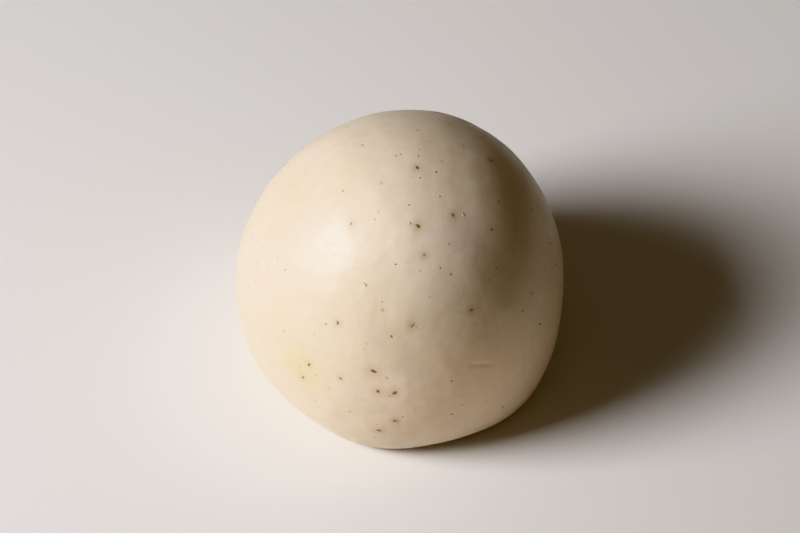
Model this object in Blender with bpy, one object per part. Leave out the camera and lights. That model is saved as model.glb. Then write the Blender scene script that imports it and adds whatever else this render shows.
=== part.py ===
"""Mochi rice cake: one soft round sweet of pounded rice dough, shaped by hand and set down on its own base.

Metres, +Z up. The cake stands on the plane Z = 0 with the middle of its footprint at the origin.
The side that was cupped in the palm is fuller than the side that was pressed by the fingers, and
the dough was gathered underneath, which leaves soft lobes round the foot.
"""

import math

import bmesh
import bpy
import numpy as np

NAME = "mochi"

# Driving dimensions, in metres.
WIDTH = 0.0464
DEPTH = 0.0448
HEIGHT = 0.040
GIRTH_HEIGHT = 0.0138
GIRTH_TILT = 0.0006
FOOT_RADIUS = 0.0178
FOOT_SHIFT = (0.0015, 0.0006)
CROWN_LEAN = (0.0020, 0.0005)

# How far the rounding between crown, girth and foot stands out from a plain ellipse, as a share of
# each arc's own half axes. The swing makes the palm side fuller and the finger side slacker.
CROWN_FULLNESS = 0.013
CROWN_SWING = 0.018
SIDE_FULLNESS = 0.016
SIDE_SWING = 0.014
PALM_AZIMUTH = math.radians(24)

# Soft lobes round the foot, from the gathered dough.
FOOT_LOBES = 5
LOBE_DEPTH = 0.04
LOBE_AZIMUTH = math.radians(-107)

# The sphere that is reshaped. Its rows below FOOT_LATITUDE become the flat face underneath.
SEGMENTS = 88
RINGS = 36
FOOT_LATITUDE = math.radians(-60)

# Dough colour, linear, and its satin finish.
DOUGH_COLOR = (0.80, 0.67, 0.51, 1.0)
DOUGH_ROUGHNESS = 0.42


def clear_scene():
    for item in list(bpy.data.objects):
        bpy.data.objects.remove(item, do_unlink=True)


def make_collection(name):
    collection = bpy.data.collections.new(name)
    bpy.context.scene.collection.children.link(collection)
    return collection


def dough_material():
    material = bpy.data.materials.new("rice dough")
    material.use_nodes = True
    shader = material.node_tree.nodes["Principled BSDF"]
    shader.inputs["Base Color"].default_value = DOUGH_COLOR
    shader.inputs["Roughness"].default_value = DOUGH_ROUGHNESS
    shader.inputs["Metallic"].default_value = 0.0
    material.diffuse_color = DOUGH_COLOR
    return material


def cake_points(azimuth, latitude):
    """Points of the skin for a direction on the unit sphere.

    Above the girth, each azimuth has a quarter ellipse from the girth up to the crown. Below it, a
    quarter ellipse runs from the girth in to the foot, and the last rows close the flat face.
    A term in sin(2t) squared swells both arcs at their middles and leaves their ends alone.
    """
    cosine, sine = np.cos(azimuth), np.sin(azimuth)
    toward_palm = np.cos(azimuth - PALM_AZIMUTH)
    girth_radius = 1 / np.hypot(cosine / (WIDTH / 2), sine / (DEPTH / 2))
    girth_height = GIRTH_HEIGHT - GIRTH_TILT * toward_palm
    lobes = np.cos(FOOT_LOBES * (azimuth - LOBE_AZIMUTH))
    foot_radius = FOOT_RADIUS * (1 + LOBE_DEPTH * lobes)

    above = np.clip(latitude, 0, math.pi / 2)
    crown_swell = (CROWN_FULLNESS + CROWN_SWING * toward_palm) * np.sin(2 * above) ** 2
    reach = np.cos(above) + crown_swell
    lean = 1 - np.cos(above)
    crown_x = girth_radius * reach * cosine + CROWN_LEAN[0] * lean
    crown_y = girth_radius * reach * sine + CROWN_LEAN[1] * lean
    crown_z = girth_height + (HEIGHT - girth_height) * (np.sin(above) + crown_swell)

    below = np.clip(latitude / FOOT_LATITUDE, 0, 1) * math.pi / 2
    side_swell = (SIDE_FULLNESS + SIDE_SWING * toward_palm) * np.sin(2 * below) ** 2
    inset = np.cos(below) + side_swell
    closing = np.clip((latitude + math.pi / 2) / (FOOT_LATITUDE + math.pi / 2), 0, 1)
    foot_x = FOOT_SHIFT[0] + foot_radius * closing * cosine
    foot_y = FOOT_SHIFT[1] + foot_radius * closing * sine
    side_x = foot_x + (girth_radius * cosine - foot_x) * inset
    side_y = foot_y + (girth_radius * sine - foot_y) * inset
    side_z = girth_height * (1 - np.sin(below) - side_swell)

    upper = latitude >= 0
    return np.stack(
        [
            np.where(upper, crown_x, side_x),
            np.where(upper, crown_y, side_y),
            np.where(upper, crown_z, np.maximum(side_z, 0)),
        ],
        axis=1,
    )


def seated(points):
    """The points scaled to the named sizes and moved so that the footprint's middle is the origin."""
    low, high = points.min(axis=0), points.max(axis=0)
    middle = np.array([(low[0] + high[0]) / 2, (low[1] + high[1]) / 2, low[2]])
    return (points - middle) * np.array([WIDTH, DEPTH, HEIGHT]) / (high - low)


def make_cake(collection):
    shape = bmesh.new()
    bmesh.ops.create_uvsphere(shape, u_segments=SEGMENTS, v_segments=RINGS, radius=1.0)
    directions = np.array([vertex.co[:] for vertex in shape.verts])
    azimuth = np.arctan2(directions[:, 1], directions[:, 0])
    latitude = np.arcsin(np.clip(directions[:, 2], -1, 1))
    for vertex, point in zip(shape.verts, seated(cake_points(azimuth, latitude))):
        vertex.co = point
    bmesh.ops.recalc_face_normals(shape, faces=shape.faces)
    mesh = bpy.data.meshes.new(NAME)
    shape.to_mesh(mesh)
    shape.free()
    mesh.shade_smooth()
    mesh.materials.append(dough_material())
    collection.objects.link(bpy.data.objects.new(NAME, mesh))


clear_scene()
make_cake(make_collection("mochi rice cake"))
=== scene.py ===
"""Mochi rice cake, dressed for its picture.

The skin stands for the plain solid of the frame: the same form on a much finer grid, with the soft
unevenness that hands leave in rice dough. Flecks of bran and broken rice grains lie in the skin as
pieces of their own. Metres, +Z up, in the frame's own place.
"""

import math

import bpy
import numpy as np
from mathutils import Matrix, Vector


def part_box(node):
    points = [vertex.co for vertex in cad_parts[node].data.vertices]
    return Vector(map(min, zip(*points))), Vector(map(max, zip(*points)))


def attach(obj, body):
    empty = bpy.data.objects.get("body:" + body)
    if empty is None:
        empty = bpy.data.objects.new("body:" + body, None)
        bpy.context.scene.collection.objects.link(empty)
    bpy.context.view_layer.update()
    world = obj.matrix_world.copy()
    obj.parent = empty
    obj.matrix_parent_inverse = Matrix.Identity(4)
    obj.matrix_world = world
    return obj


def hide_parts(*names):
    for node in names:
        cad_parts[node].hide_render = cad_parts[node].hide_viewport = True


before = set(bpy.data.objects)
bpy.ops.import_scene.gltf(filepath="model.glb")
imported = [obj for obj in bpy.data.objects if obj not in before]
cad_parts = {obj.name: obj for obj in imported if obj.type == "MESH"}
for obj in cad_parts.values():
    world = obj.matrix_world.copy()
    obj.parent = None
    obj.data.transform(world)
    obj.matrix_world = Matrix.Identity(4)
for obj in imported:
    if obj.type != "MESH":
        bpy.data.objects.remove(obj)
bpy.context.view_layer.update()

# The cake's own sizes, from the solid that the skin stands for.
LOW, HIGH = (np.array(corner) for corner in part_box("mochi"))
WIDTH, DEPTH, HEIGHT = HIGH - LOW
MM = 0.001
BALL = (WIDTH + DEPTH) / 4

# The form, as shares of those sizes. It is the solid's own form.
GIRTH_HEIGHT = 0.345 * HEIGHT
GIRTH_TILT = 0.015 * HEIGHT
FOOT_RADIUS = 0.384 * WIDTH
FOOT_SHIFT = (0.0323 * WIDTH, 0.0134 * DEPTH)
CROWN_LEAN = (0.0431 * WIDTH, 0.0112 * DEPTH)
CROWN_FULLNESS = 0.013
CROWN_SWING = 0.018
SIDE_FULLNESS = 0.016
SIDE_SWING = 0.014
PALM_AZIMUTH = math.radians(24)
FOOT_LOBES = 5
LOBE_DEPTH = 0.04
LOBE_AZIMUTH = math.radians(-107)
FOOT_LATITUDE = math.radians(-60)

# Rows and columns of the skin's grid.
COLUMNS = 420
CROWN_ROWS = 150
SIDE_ROWS = 64
FOOT_ROWS = 12

# Soft unevenness of the skin: wavelength, swing and seed of each set of waves.
SKIN_WAVES = (
    (19 * MM, 0.04 * MM, 11),
    (8 * MM, 0.030 * MM, 12),
    (3.4 * MM, 0.009 * MM, 13),
    (1.5 * MM, 0.0035 * MM, 14),
)

# Places on the skin are given as azimuth and latitude in degrees. Azimuth -90 is the front.
# Shallow dents that fingers left: place, radius and depth.
DENTS = (
    ((-133, 12), 4.6 * MM, 0.16 * MM),
    ((-70, 34), 5.0 * MM, 0.07 * MM),
    ((20, 30), 6.0 * MM, 0.10 * MM),
    ((115, 25), 6.5 * MM, 0.12 * MM),
    ((165, 40), 5.0 * MM, 0.08 * MM),
)

# Soft pleats that run down the side where the dough was drawn under: start, end, width and height.
PLEATS = (
    ((-92, 32), (-86, -14), 1.2 * MM, 0.035 * MM),
    ((-78, 30), (-65, -8), 1.0 * MM, 0.030 * MM),
    ((-48, 26), (-38, -12), 1.5 * MM, 0.035 * MM),
    ((30, 24), (38, -16), 1.4 * MM, 0.040 * MM),
    ((84, 30), (90, -14), 1.3 * MM, 0.035 * MM),
    ((150, 26), (146, -12), 1.5 * MM, 0.040 * MM),
)
FINE_PLEATS = 74
FINE_PLEAT_HEIGHT = 0.009 * MM
FINE_PLEAT_PATCH = 9 * MM

# One short crease in the skin, low on the right of the front.
CREASE = ((-64, 15), (-54, 11))
CREASE_WIDTH = 0.24 * MM
CREASE_DEPTH = 0.12 * MM

# The dough is pinched together underneath: folds that run in to the middle of the foot.
GATHER_FOLDS = 11
GATHER_DEPTH = 0.16 * MM
GATHER_RADIUS = 0.62 * FOOT_RADIUS

# The waves and marks fade in over this height above the foot.
FADE_START = 0.2 * MM
FADE_END = 4 * MM

# Bran flecks and rice grains that stand out one by one: place and length.
MAIN_FLECKS = (
    ((-100, 16), 1.00 * MM),
    ((-98, 8), 0.70 * MM),
    ((-92, 8), 0.90 * MM),
    ((-98, -15), 0.85 * MM),
    ((-82, 66), 0.85 * MM),
    ((-56, 88), 0.60 * MM),
    ((-50, 66), 0.65 * MM),
    ((-117, 30), 0.50 * MM),
    ((-125, 10), 0.60 * MM),
    ((-127, 3), 0.55 * MM),
    ((-112, 10), 0.45 * MM),
    ((-92, -7), 0.60 * MM),
    ((-86, 33), 0.70 * MM),
    ((-79, 56), 0.45 * MM),
    ((-135, 61), 0.45 * MM),
    ((-60, 34), 0.55 * MM),
    ((16, 60), 0.55 * MM),
)
MAIN_GRAINS = (
    ((-89, 67), 0.55 * MM),
    ((-42, 64), 0.60 * MM),
    ((-110, 45), 0.70 * MM),
    ((-71, 51), 0.55 * MM),
    ((-122, 28), 0.60 * MM),
    ((68, 86), 0.60 * MM),
    ((-66, 48), 0.45 * MM),
    ((-95, 14), 0.50 * MM),
)

# Scattered chips of each kind: how many, the seed of their places, shortest and longest.
SMALL_FLECKS = (140, 31, 0.14 * MM, 0.55 * MM)
SMALL_GRAINS = (40, 32, 0.25 * MM, 0.60 * MM)

# A chip's form: the seed, its width as a share of its length, and how deep it sinks into the skin
# and how far it stands out of it, as shares of its length too.
FLECK_FORM = {"seed": 41, "slimness": 0.68, "depth": 0.10, "proud": 0.03}
GRAIN_FORM = {"seed": 42, "slimness": 0.6, "depth": 0.3, "proud": 0.08}
CHIP_COLUMNS = 11

# Dough colours: two shades of cream, the mottling, the painted shade of the dent, and the bran's stains.
CREAM = (0.80, 0.70, 0.55, 1)
LIGHT_CREAM = (0.83, 0.73, 0.60, 1)
DOUGH_MOTTLE = (0.76, 0.655, 0.50, 1)
# Painted shade: the dough colour that stands in for the shade in the dent.
DENT_SHADE_COLOR = (0.76, 0.66, 0.42, 1)
SUNKEN_BRAN = (0.45, 0.31, 0.17, 1)
BRAN_STAIN = (0.50, 0.35, 0.20, 1)

# Painted shade in the dent, as darker and yellower dough: place, radius and strength.
DENT_SHADE_PATCH = ((-128, 7), 4.2 * MM, 0.75)

# Specks under the skin, in two sizes: spacing in millimetres, radius as a share of it, strength.
SUNKEN_SPECKS = ((2.3, 0.20, 0.50), (1.1, 0.20, 0.22))

# Bran and rice colours: the first two are the ends of the chips' tones, the third their mottling.
BRAN_COLORS = ((0.58, 0.43, 0.27, 1), (0.29, 0.175, 0.085, 1), (0.46, 0.31, 0.17, 1))
RICE_COLORS = ((0.84, 0.72, 0.51, 1), (0.90, 0.80, 0.60, 1), (0.90, 0.83, 0.68, 1))

# The stage and the camera. The view is as wide as 2.434 cakes.
FLOOR_COLOR = (0.86, 0.84, 0.81, 1)
FLOOR_REACH = 3.0
CAMERA_DISTANCE = 0.85
CAMERA_ELEVATION = 51.2
VIEW_WIDTH = 2.434 * WIDTH


# ---------------------------------------------------------------- the form

def cake_points(azimuth, latitude):
    """Points of the plain form for a direction on the unit sphere.

    Above the girth, each azimuth has a quarter ellipse from the girth up to the crown. Below it, a
    quarter ellipse runs from the girth in to the foot, and the last rows close the flat face.
    A term in sin(2t) squared swells both arcs at their middles and leaves their ends alone.
    """
    cosine, sine = np.cos(azimuth), np.sin(azimuth)
    toward_palm = np.cos(azimuth - PALM_AZIMUTH)
    girth_radius = 1 / np.hypot(cosine / (WIDTH / 2), sine / (DEPTH / 2))
    girth_height = GIRTH_HEIGHT - GIRTH_TILT * toward_palm
    lobes = np.cos(FOOT_LOBES * (azimuth - LOBE_AZIMUTH))
    foot_radius = FOOT_RADIUS * (1 + LOBE_DEPTH * lobes)

    above = np.clip(latitude, 0, math.pi / 2)
    crown_swell = (CROWN_FULLNESS + CROWN_SWING * toward_palm) * np.sin(2 * above) ** 2
    reach = np.cos(above) + crown_swell
    lean = 1 - np.cos(above)
    crown_x = girth_radius * reach * cosine + CROWN_LEAN[0] * lean
    crown_y = girth_radius * reach * sine + CROWN_LEAN[1] * lean
    crown_z = girth_height + (HEIGHT - girth_height) * (np.sin(above) + crown_swell)

    below = np.clip(latitude / FOOT_LATITUDE, 0, 1) * math.pi / 2
    side_swell = (SIDE_FULLNESS + SIDE_SWING * toward_palm) * np.sin(2 * below) ** 2
    inset = np.cos(below) + side_swell
    closing = np.clip((latitude + math.pi / 2) / (FOOT_LATITUDE + math.pi / 2), 0, 1)
    foot_x = FOOT_SHIFT[0] + foot_radius * closing * cosine
    foot_y = FOOT_SHIFT[1] + foot_radius * closing * sine
    side_x = foot_x + (girth_radius * cosine - foot_x) * inset
    side_y = foot_y + (girth_radius * sine - foot_y) * inset
    side_z = girth_height * (1 - np.sin(below) - side_swell)

    upper = latitude >= 0
    return np.stack(
        [
            np.where(upper, crown_x, side_x),
            np.where(upper, crown_y, side_y),
            np.where(upper, crown_z, np.maximum(side_z, 0)),
        ],
        axis=-1,
    )


def skin_grid():
    """Azimuth and latitude of the skin's grid, row by row from the foot's middle up to the crown."""
    latitude = np.concatenate(
        [
            np.linspace(-math.pi / 2, FOOT_LATITUDE, FOOT_ROWS, endpoint=False),
            np.linspace(FOOT_LATITUDE, 0, SIDE_ROWS, endpoint=False),
            np.linspace(0, math.pi / 2, CROWN_ROWS + 1),
        ]
    )
    azimuth = np.linspace(-math.pi, math.pi, COLUMNS, endpoint=False)
    return np.meshgrid(azimuth, latitude)


def seating():
    """Scale and shift that fit the plain form to the solid's box."""
    points = cake_points(*skin_grid()).reshape(-1, 3)
    low, high = points.min(axis=0), points.max(axis=0)
    scale = (HIGH - LOW) / (high - low)
    return scale, LOW - low * scale


SEAT_SCALE, SEAT_SHIFT = seating()


def form(azimuth, latitude):
    """The plain form, seated in the solid's box."""
    return cake_points(azimuth, latitude) * SEAT_SCALE + SEAT_SHIFT


def stance(surface, azimuth, latitude, step=0.004):
    """Points of a surface of azimuth and latitude, with sideways, upward and outward unit vectors.

    The vectors come from central differences and their cross product. Near the poles a difference in
    azimuth shrinks to nothing, so there the latitude is held just off them.
    """
    held = np.clip(latitude, -math.pi / 2 + 2 * step, math.pi / 2 - 2 * step)
    side = surface(azimuth + step, held) - surface(azimuth - step, held)
    rise = surface(azimuth, held + step) - surface(azimuth, held - step)
    out = np.cross(side, rise)
    side, out = (vector / np.linalg.norm(vector, axis=-1, keepdims=True) for vector in (side, out))
    return surface(azimuth, latitude), side, np.cross(out, side), out


def smooth_step(value, start, end):
    """0 below start, 1 above end, with a smooth rise between."""
    share = np.clip((value - start) / (end - start), 0, 1)
    return share * share * (3 - 2 * share)


def waves(points, wavelength, seed, count=18):
    """Smooth noise of unit spread: the sum of plane waves in random directions through the points."""
    draw = np.random.default_rng(seed)
    direction = draw.normal(size=(count, 3))
    direction /= np.linalg.norm(direction, axis=1, keepdims=True)
    length = wavelength * draw.uniform(0.75, 1.35, count)
    phase = draw.uniform(0, 2 * math.pi, count)
    turns = points @ (direction / length[:, None]).T
    return np.cos(2 * math.pi * turns + phase).sum(axis=-1) * math.sqrt(2 / count)


def bell(distance, width):
    """1 in the middle, falling off as a bell curve of that width."""
    return np.exp(-((distance / width) ** 2))


def distance_to(points, place):
    """Straight distance from each point to a place on the skin."""
    return np.linalg.norm(points - form(*np.radians(place)), axis=-1)


def line_on_skin(azimuth, latitude, start, end):
    """Share of the way along a line on the skin, and the distance off it.

    The skin is laid flat on either side of the line's middle meridian: sideways by the arc length
    at each latitude, upward by the arc length of the latitude.
    """
    (azimuth_a, latitude_a), (azimuth_b, latitude_b) = np.radians(start), np.radians(end)
    middle = (azimuth_a + azimuth_b) / 2

    def flat(turn, rise):
        offset = (turn - middle + math.pi) % (2 * math.pi) - math.pi
        return BALL * np.stack([offset * np.cos(rise), rise], axis=-1)

    first, last = flat(azimuth_a, latitude_a), flat(azimuth_b, latitude_b)
    line = last - first
    away = flat(azimuth, latitude) - first
    share = np.clip(away @ line / (line @ line), 0, 1)
    return share, np.linalg.norm(away - share[..., None] * line, axis=-1)


def hand_marks(azimuth, latitude, points):
    """Pleats, dents and the crease.

    The fine pleats are a cosine round the side, where a slow noise lets them show. The others are
    bell curves across each mark, the long ones fading at both ends.
    """
    fine = np.cos(FINE_PLEATS * azimuth + 3 * np.sin(2 * azimuth) + 2 * latitude)
    on_side = smooth_step(np.cos(latitude), 0.55, 0.95)
    in_patches = smooth_step(waves(points, FINE_PLEAT_PATCH, 15), -0.6, 1.4)
    height = FINE_PLEAT_HEIGHT * fine * on_side * in_patches
    for place, radius, depth in DENTS:
        height = height - depth * bell(distance_to(points, place), radius)
    for start, end, width, rise in PLEATS:
        share, off = line_on_skin(azimuth, latitude, start, end)
        height = height + rise * bell(off, width) * np.sin(math.pi * share)
    share, off = line_on_skin(azimuth, latitude, *CREASE)
    return height - CREASE_DEPTH * bell(off, CREASE_WIDTH) * np.sqrt(np.sin(math.pi * share))


def gathering(azimuth, points):
    """How far the underside is drawn up: folds like spokes that die out well inside the foot's rim."""
    away = points[..., :2] - np.array(FOOT_SHIFT)
    radius = np.hypot(away[..., 0], away[..., 1]) / GATHER_RADIUS
    spokes = 0.5 + 0.5 * np.cos(GATHER_FOLDS * azimuth + 1.5 * np.sin(3 * azimuth) + 2.5 * radius)
    folds = spokes * radius * np.clip(1 - radius, 0, 1) * 4
    return GATHER_DEPTH * (folds + 1.2 * bell(radius, 0.22)) * (points[..., 2] < LOW[2] + 0.05 * MM)


def relief(azimuth, latitude):
    """Height of the skin over the plain form.

    It is waves and hand marks, faded out at the foot, where the folds underneath take over.
    """
    points = form(azimuth, latitude)
    height = sum(swing * waves(points, wavelength, seed) for wavelength, swing, seed in SKIN_WAVES)
    height = height + hand_marks(azimuth, latitude, points)
    height = height * smooth_step(points[..., 2], LOW[2] + FADE_START, LOW[2] + FADE_END)
    return height - gathering(azimuth, points)


def skin(azimuth, latitude):
    """The finished skin: the plain form moved along its normals by the relief, never below the floor."""
    points, _, _, out = stance(form, azimuth, latitude)
    points = points + out * relief(azimuth, latitude)[..., None]
    points[..., 2] = np.maximum(points[..., 2], LOW[2])
    return points


# ---------------------------------------------------------------- meshes

def closed_rings(points):
    """Points and faces of closed shells: rings of points, with a single point at each end.

    points is shells x rings x columns x 3, lowest ring first and each ring counter-clockwise seen
    from outside its top. The first and last rings are single points.
    """
    shells, rings, columns = points.shape[:3]
    body = points[:, 1:-1].reshape(shells, -1, 3)
    verts = np.concatenate([points[:, :1, 0], body, points[:, -1:, 0]], axis=1)
    each = verts.shape[1]
    column = np.arange(columns)
    beside = (column + 1) % columns
    row = 1 + np.arange(rings - 3)[:, None] * columns
    above = row + columns
    quads = np.stack([row + column, row + beside, above + beside, above + column], axis=-1)
    top = each - 1 - columns
    low_fan = np.stack([np.zeros(columns, int), 1 + beside, 1 + column], axis=-1)
    high_fan = np.stack([np.full(columns, each - 1), top + column, top + beside], axis=-1)
    start = np.arange(shells)[:, None, None] * each
    quads = (quads.reshape(1, -1, 4) + start).reshape(-1, 4)
    triangles = (np.vstack([low_fan, high_fan])[None] + start).reshape(-1, 3)
    return verts.reshape(-1, 3), quads, triangles


def make_piece(name, slot, material, verts, quads, triangles, **values):
    """A smooth mesh object at the origin from whole arrays of points and faces.

    values are named point attributes that the material reads.
    """
    mesh = bpy.data.meshes.new(name)
    sizes = np.concatenate([np.full(len(quads), 4), np.full(len(triangles), 3)])
    corners = np.concatenate([quads.ravel(), triangles.ravel()])
    mesh.vertices.add(len(verts))
    mesh.vertices.foreach_set("co", verts.astype(np.float32).ravel())
    mesh.loops.add(len(corners))
    mesh.loops.foreach_set("vertex_index", corners.astype(np.int32))
    mesh.polygons.add(len(sizes))
    mesh.polygons.foreach_set("loop_start", (np.cumsum(sizes) - sizes).astype(np.int32))
    mesh.update(calc_edges=True)
    mesh.shade_smooth()
    for title, value in values.items():
        attribute = mesh.attributes.new(title, "FLOAT", "POINT")
        attribute.data.foreach_set("value", value.astype(np.float32))
    mesh.materials.append(material)
    piece = bpy.data.objects.new(name, mesh)
    bpy.context.scene.collection.objects.link(piece)
    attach(piece, "root")
    return piece


# ---------------------------------------------------------------- materials

def new_material(name):
    material = bpy.data.materials.new(name)
    material.use_nodes = True
    return material, material.node_tree.nodes, material.node_tree.links


def new_group(name, inputs, outputs):
    """An empty shader node group with named sockets. inputs give each socket's type and first value."""
    group = bpy.data.node_groups.new(name, "ShaderNodeTree")
    for title, (kind, value) in inputs.items():
        socket = group.interface.new_socket(title, in_out="INPUT", socket_type=kind)
        socket.default_value = value
    for title, kind in outputs.items():
        group.interface.new_socket(title, in_out="OUTPUT", socket_type=kind)
    return group, group.nodes.new("NodeGroupInput"), group.nodes.new("NodeGroupOutput")


def millimetres(nodes, links):
    """Object coordinates in millimetres."""
    place = nodes.new("ShaderNodeTexCoord")
    scale = nodes.new("ShaderNodeVectorMath")
    scale.operation = "SCALE"
    scale.inputs["Scale"].default_value = 1 / MM
    links.new(place.outputs["Object"], scale.inputs[0])
    return scale.outputs[0]


def scaled_place(nodes, links, size):
    """Object coordinates in millimetres, divided by a size."""
    node = nodes.new("ShaderNodeVectorMath")
    node.operation = "DIVIDE"
    links.new(millimetres(nodes, links), node.inputs[0])
    links.new(size, node.inputs[1])
    return node.outputs[0]


def noise(nodes, links, vector, wavelength, detail=2.0, roughness=0.5):
    """Noise between 0 and 1, whose blots are about that many millimetres across."""
    node = nodes.new("ShaderNodeTexNoise")
    node.inputs["Scale"].default_value = 1 / wavelength
    node.inputs["Detail"].default_value = detail
    node.inputs["Roughness"].default_value = roughness
    links.new(vector, node.inputs["Vector"])
    return node.outputs["Fac"]


def spread(nodes, links, value, low, high, start=0.0, end=1.0):
    """A value from low to high mapped smoothly onto start to end."""
    node = nodes.new("ShaderNodeMapRange")
    node.interpolation_type = "SMOOTHSTEP"
    for title, number in (("From Min", low), ("From Max", high), ("To Min", start), ("To Max", end)):
        node.inputs[title].default_value = number
    links.new(value, node.inputs["Value"])
    return node.outputs["Result"]


def feed(links, value, socket):
    """Links a socket to a value that is a socket too, or sets it to a plain value."""
    if isinstance(value, bpy.types.NodeSocket):
        links.new(value, socket)
    else:
        socket.default_value = value


def blend_color(nodes, links, share, first, second):
    """The mix of two colours. Each colour and the share may be a socket or a plain value."""
    node = nodes.new("ShaderNodeMix")
    node.data_type = "RGBA"
    for socket, value in zip((node.inputs["Factor"], *node.inputs[6:8]), (share, first, second)):
        feed(links, value, socket)
    return node.outputs[2]


def product(nodes, links, first, second):
    """The product of two numbers. Each may be a socket or a plain value."""
    node = nodes.new("ShaderNodeMath")
    node.operation = "MULTIPLY"
    for socket, value in zip(node.inputs, (first, second)):
        feed(links, value, socket)
    return node.outputs[0]


def read_value(nodes, title):
    """A point attribute of the piece."""
    node = nodes.new("ShaderNodeAttribute")
    node.attribute_name = title
    return node.outputs["Fac"]


def grain_group():
    """Fine grain that every surface of the cake shares: a height for bump and a share for mottling."""
    group, given, result = new_group(
        "fine grain",
        {"Size": ("NodeSocketFloat", 1.0)},
        {"Height": "NodeSocketFloat", "Mottle": "NodeSocketFloat"},
    )
    nodes, links = group.nodes, group.links
    place = scaled_place(nodes, links, given.outputs["Size"])
    grit = noise(nodes, links, place, 0.35, detail=3.0, roughness=0.6)
    links.new(grit, result.inputs["Height"])
    mottle = noise(nodes, links, place, 1.6, detail=4.0, roughness=0.55)
    links.new(spread(nodes, links, mottle, 0.32, 0.68), result.inputs["Mottle"])
    return group


def speck_group():
    """Bran under the skin: soft dots round scattered points, of uneven size and strength."""
    group, given, result = new_group(
        "sunken specks",
        {"Spacing": ("NodeSocketFloat", 2.0), "Radius": ("NodeSocketFloat", 0.2)},
        {"Speck": "NodeSocketFloat"},
    )
    nodes, links = group.nodes, group.links
    cells = nodes.new("ShaderNodeTexVoronoi")
    links.new(scaled_place(nodes, links, given.outputs["Spacing"]), cells.inputs["Vector"])
    cells.inputs["Scale"].default_value = 1.0
    dot = nodes.new("ShaderNodeMapRange")
    dot.interpolation_type = "SMOOTHSTEP"
    dot.inputs["From Min"].default_value = 0.0
    dot.inputs["To Min"].default_value = 1.0
    dot.inputs["To Max"].default_value = 0.0
    links.new(cells.outputs["Distance"], dot.inputs["Value"])
    links.new(given.outputs["Radius"], dot.inputs["From Max"])
    parts = nodes.new("ShaderNodeSeparateColor")
    links.new(cells.outputs["Color"], parts.inputs["Color"])
    strength = spread(nodes, links, parts.outputs["Red"], 0.35, 1.0)
    links.new(product(nodes, links, dot.outputs["Result"], strength), result.inputs["Speck"])
    return group


def place_group(nodes, group, **values):
    """A node that uses the group, with the values of its named sockets."""
    node = nodes.new("ShaderNodeGroup")
    node.node_tree = group
    for title, value in values.items():
        node.inputs[title].default_value = value
    return node


def roughen(nodes, links, shader, grain, smooth, dull, depth):
    """Lets the grain vary the roughness from smooth to dull and raise the surface by its depth."""
    roughness = spread(nodes, links, grain.outputs["Mottle"], 0, 1, smooth, dull)
    links.new(roughness, shader.inputs["Roughness"])
    bump = nodes.new("ShaderNodeBump")
    bump.inputs["Distance"].default_value = depth
    links.new(grain.outputs["Height"], bump.inputs["Height"])
    links.new(bump.outputs["Normal"], shader.inputs["Normal"])


def subsurface(shader, weight, radius, scale):
    shader.inputs["Subsurface Weight"].default_value = weight
    shader.inputs["Subsurface Radius"].default_value = radius
    shader.inputs["Subsurface Scale"].default_value = scale


def dough_material(grain, specks):
    """Cream rice dough: a soft satin skin that lets a little light through.

    The cream drifts between two shades, is painted darker and yellower at the dent as the dent's shade,
    turns tan round the flecks, and is strewn with specks of two sizes that lie under the skin.
    """
    material, nodes, links = new_material("rice dough")
    shader = nodes["Principled BSDF"]
    shader.inputs["IOR"].default_value = 1.45
    shader.inputs["Specular IOR Level"].default_value = 0.85
    subsurface(shader, weight=0.25, radius=(1.0, 0.6, 0.35), scale=2 * MM)
    vector = millimetres(nodes, links)
    fine = place_group(nodes, grain, Size=1.0)
    drift = spread(nodes, links, noise(nodes, links, vector, 11.0), 0.35, 0.65)
    color = blend_color(nodes, links, drift, CREAM, LIGHT_CREAM)
    mottle = product(nodes, links, fine.outputs["Mottle"], 0.35)
    color = blend_color(nodes, links, mottle, color, DOUGH_MOTTLE)
    # Painted shade: darker, yellower dough in the dent.
    color = blend_color(nodes, links, read_value(nodes, "painted_dent_shade"), color, DENT_SHADE_COLOR)
    for spacing, radius, strength in SUNKEN_SPECKS:
        dots = place_group(nodes, specks, Spacing=spacing, Radius=radius)
        share = product(nodes, links, dots.outputs["Speck"], strength)
        color = blend_color(nodes, links, share, color, SUNKEN_BRAN)
    color = blend_color(nodes, links, read_value(nodes, "stain"), color, BRAN_STAIN)
    links.new(color, shader.inputs["Base Color"])
    roughen(nodes, links, shader, fine, smooth=0.38, dull=0.45, depth=0.012 * MM)
    return material


def chip_color(nodes, links, shader, fine, colors, mottling):
    """Base colour of a chip: between the first two colours by its tone, mottled with the third."""
    first, second, third = colors
    color = blend_color(nodes, links, read_value(nodes, "tone"), first, second)
    mottle = product(nodes, links, fine.outputs["Mottle"], mottling)
    links.new(blend_color(nodes, links, mottle, color, third), shader.inputs["Base Color"])


def bran_material(grain):
    """Matt brown bran, from tan to dark brown by each fleck's tone."""
    material, nodes, links = new_material("bran")
    shader = nodes["Principled BSDF"]
    shader.inputs["IOR"].default_value = 1.4
    subsurface(shader, weight=0.2, radius=(1.0, 0.5, 0.25), scale=0.8 * MM)
    fine = place_group(nodes, grain, Size=0.3)
    chip_color(nodes, links, shader, fine, BRAN_COLORS, mottling=0.4)
    roughen(nodes, links, shader, fine, smooth=0.6, dull=0.8, depth=0.01 * MM)
    return material


def grain_material(grain):
    """Pale broken rice, faintly translucent, from cream to chalky by each grain's tone."""
    material, nodes, links = new_material("rice grain")
    shader = nodes["Principled BSDF"]
    shader.inputs["IOR"].default_value = 1.48
    subsurface(shader, weight=0.6, radius=(1.0, 0.7, 0.5), scale=1.5 * MM)
    fine = place_group(nodes, grain, Size=0.4)
    chip_color(nodes, links, shader, fine, RICE_COLORS, mottling=0.3)
    roughen(nodes, links, shader, fine, smooth=0.5, dull=0.65, depth=0.01 * MM)
    return material


# ---------------------------------------------------------------- pieces

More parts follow.
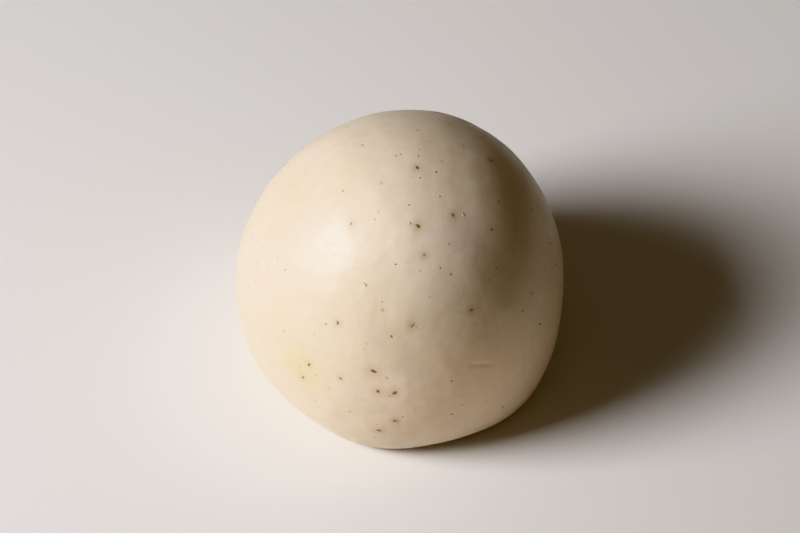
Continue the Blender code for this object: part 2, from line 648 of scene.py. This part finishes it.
def make_skin(grain, specks):
    """The skin in place of the solid, with the painted shade of the dent and the bran's stains at each
    point.
    """
    azimuth, latitude = skin_grid()
    shell = closed_rings(skin(azimuth, latitude)[None])
    points = shell[0]
    # Painted shade of the dent: how much of the darker, yellower colour each point takes.
    place, radius, strength = DENT_SHADE_PATCH
    painted_dent_shade = strength * bell(distance_to(points, place), radius)
    stain = sum(
        0.34 * bell(distance_to(points, place), 0.9 * length + 0.25 * MM)
        for place, length in MAIN_FLECKS
    )
    values = {"painted_dent_shade": painted_dent_shade, "stain": np.clip(stain, 0, 0.6)}
    piece = make_piece("mochi_skin", "rice_dough", dough_material(grain, specks), *shell, **values)
    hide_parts("mochi")


def scattered(count, seed, shortest, longest):
    """Places over the skin above the foot, evenly by area, and lengths with more short than long.

    Clusters come from noise: a place is kept where the noise is higher than a random level.
    """
    draw = np.random.default_rng(seed)
    tries = 6 * count
    azimuth = draw.uniform(-math.pi, math.pi, tries)
    latitude = np.arcsin(draw.uniform(-0.45, 1, tries))
    level = draw.normal(size=tries)
    kept = np.flatnonzero(waves(form(azimuth, latitude), 14 * MM, seed) > level)[:count]
    length = shortest + (longest - shortest) * draw.uniform(0, 1, len(kept)) ** 2.2
    return azimuth[kept], latitude[kept], length


def lens_shells(azimuth, latitude, length, seed, slimness, depth, proud):
    """Closed lens-shaped chips that lie in the skin, one at each place.

    Each is a stack of rings: a point below, a sunken ring, an uneven rim level with the skin, a
    shoulder above it and a point on top. The outline is an ellipse with two random swells.
    """
    draw = np.random.default_rng(seed)
    count = len(length)
    center, side, rise, out = stance(skin, azimuth, latitude)
    turn = draw.uniform(0, math.pi, (count, 1))
    slim = slimness * draw.uniform(0.75, 1.25, (count, 1))
    phase = draw.uniform(0, 2 * math.pi, (count, 2))
    angle = np.linspace(0, 2 * math.pi, CHIP_COLUMNS, endpoint=False)[None]
    wobble = 1 + 0.16 * np.cos(2 * angle + phase[:, :1]) + 0.13 * np.cos(3 * angle + phase[:, 1:])
    across = 0.5 * length[:, None] * wobble * np.cos(angle)
    along = 0.5 * length[:, None] * slim * wobble * np.sin(angle)
    flat_x = across * np.cos(turn) - along * np.sin(turn)
    flat_y = across * np.sin(turn) + along * np.cos(turn)
    ring_reach = np.array([0, 0.7, 1, 0.72, 0])[None, :, None]
    ring_height = np.array([-depth, -0.6 * depth, -0.02, 0.7 * proud, proud])[None]
    height = length[:, None] * ring_height
    shells = center[:, None, None] + (
        (flat_x[:, None] * ring_reach)[..., None] * side[:, None, None]
        + (flat_y[:, None] * ring_reach)[..., None] * rise[:, None, None]
        + height[..., None, None] * out[:, None, None]
    )
    tone = np.repeat(draw.uniform(0, 1, count), 3 * CHIP_COLUMNS + 2)
    return shells, tone


def make_chips(name, slot, material, main, small, chip_form):
    """Chips of one kind: those placed one by one, then those scattered by the seed."""
    azimuth, latitude = np.radians([place for place, _ in main]).T
    length = np.array([length for _, length in main])
    placed, more = (azimuth, latitude, length), scattered(*small)
    azimuth, latitude, length = (np.concatenate(pair) for pair in zip(placed, more))
    shells, tone = lens_shells(azimuth, latitude, length, **chip_form)
    make_piece(name, slot, material, *closed_rings(shells), tone=tone)


def make_cake():
    grain, specks = grain_group(), speck_group()
    make_skin(grain, specks)
    bran = bran_material(grain)
    make_chips("bran_flecks", "bran_flecks", bran, MAIN_FLECKS, SMALL_FLECKS, FLECK_FORM)
    rice = grain_material(grain)
    make_chips("rice_grains", "rice_grains", rice, MAIN_GRAINS, SMALL_GRAINS, GRAIN_FORM)


# ---------------------------------------------------------------- stage

def make_floor():
    reach = FLOOR_REACH
    mesh = bpy.data.meshes.new("floor")
    corners = [(-reach, -reach, 0), (reach, -reach, 0), (reach, reach, 0), (-reach, reach, 0)]
    mesh.from_pydata(corners, [], [(0, 1, 2, 3)])
    material, nodes, _ = new_material("floor")
    shader = nodes["Principled BSDF"]
    shader.inputs["Base Color"].default_value = FLOOR_COLOR
    shader.inputs["Roughness"].default_value = 0.8
    shader.inputs["Specular IOR Level"].default_value = 0.2
    mesh.materials.append(material)
    floor = bpy.data.objects.new("floor", mesh)
    bpy.context.scene.collection.objects.link(floor)


def aim(thing, place, target):
    """Puts a lamp or camera at a place, looking at the target."""
    thing.location = place
    thing.rotation_euler = (Vector(target) - Vector(place)).to_track_quat("-Z", "Y").to_euler()


def around(target, azimuth, elevation, distance):
    """A place that far from the target. Azimuth 0 is in front, at -Y, and 90 is at +X."""
    turn, rise = math.radians(azimuth), math.radians(elevation)
    away = Vector((math.sin(turn) * math.cos(rise), -math.cos(turn) * math.cos(rise), math.sin(rise)))
    return Vector(target) + away * distance


def soft_light(name, azimuth, elevation, distance, size, power, color, beam=180):
    """A lamp with a square-cornered soft face that looks at the cake's middle from around it.

    Angles are in degrees, the distance and the two sides of its face in metres, the power in watts.
    """
    light = bpy.data.lights.new(name, "AREA")
    light.shape = "RECTANGLE"
    light.size, light.size_y = size
    light.energy = power
    light.color = color
    light.spread = math.radians(beam)
    lamp = bpy.data.objects.new(name, light)
    bpy.context.scene.collection.objects.link(lamp)
    target = (0, 0, HEIGHT / 2)
    aim(lamp, around(target, azimuth, elevation, distance), target)
    lamp.visible_camera = False
    return lamp


def make_lights():
    """A window on the left, a warm mat on the floor in front that shines up, and the room's dim light."""
    soft_light(
        "window",
        azimuth=-75,
        elevation=35,
        distance=0.70,
        size=(0.30, 0.34),
        power=0.79,
        color=(0.94, 0.95, 1.0),
        beam=70,
    )
    mat = soft_light(
        "front_reflector",
        azimuth=20,
        elevation=0,
        distance=0.058,
        size=(0.05, 0.05),
        power=0.0028,
        color=(1.0, 0.62, 0.35),
    )
    mat.location.z = 0.5 * MM
    mat.rotation_euler = (math.pi, 0, math.radians(20))
    world = bpy.data.worlds.new("room")
    world.use_nodes = True
    background = world.node_tree.nodes["Background"]
    background.inputs["Color"].default_value = (1.0, 0.86, 0.68, 1)
    background.inputs["Strength"].default_value = 0.10
    bpy.context.scene.world = world


def make_camera():
    data = bpy.data.cameras.new("camera")
    data.sensor_width = 36
    data.lens = data.sensor_width * CAMERA_DISTANCE / VIEW_WIDTH
    camera = bpy.data.objects.new("camera", data)
    bpy.context.scene.collection.objects.link(camera)
    target = (0, 0, 0.45 * HEIGHT)
    aim(camera, around(target, 0, CAMERA_ELEVATION, CAMERA_DISTANCE), target)
    bpy.context.scene.camera = camera


make_camera()
make_floor()
make_lights()
make_cake()
bpy.context.scene.view_settings.view_transform = "Khronos PBR Neutral"
bpy.context.scene.view_settings.look = "High Contrast"
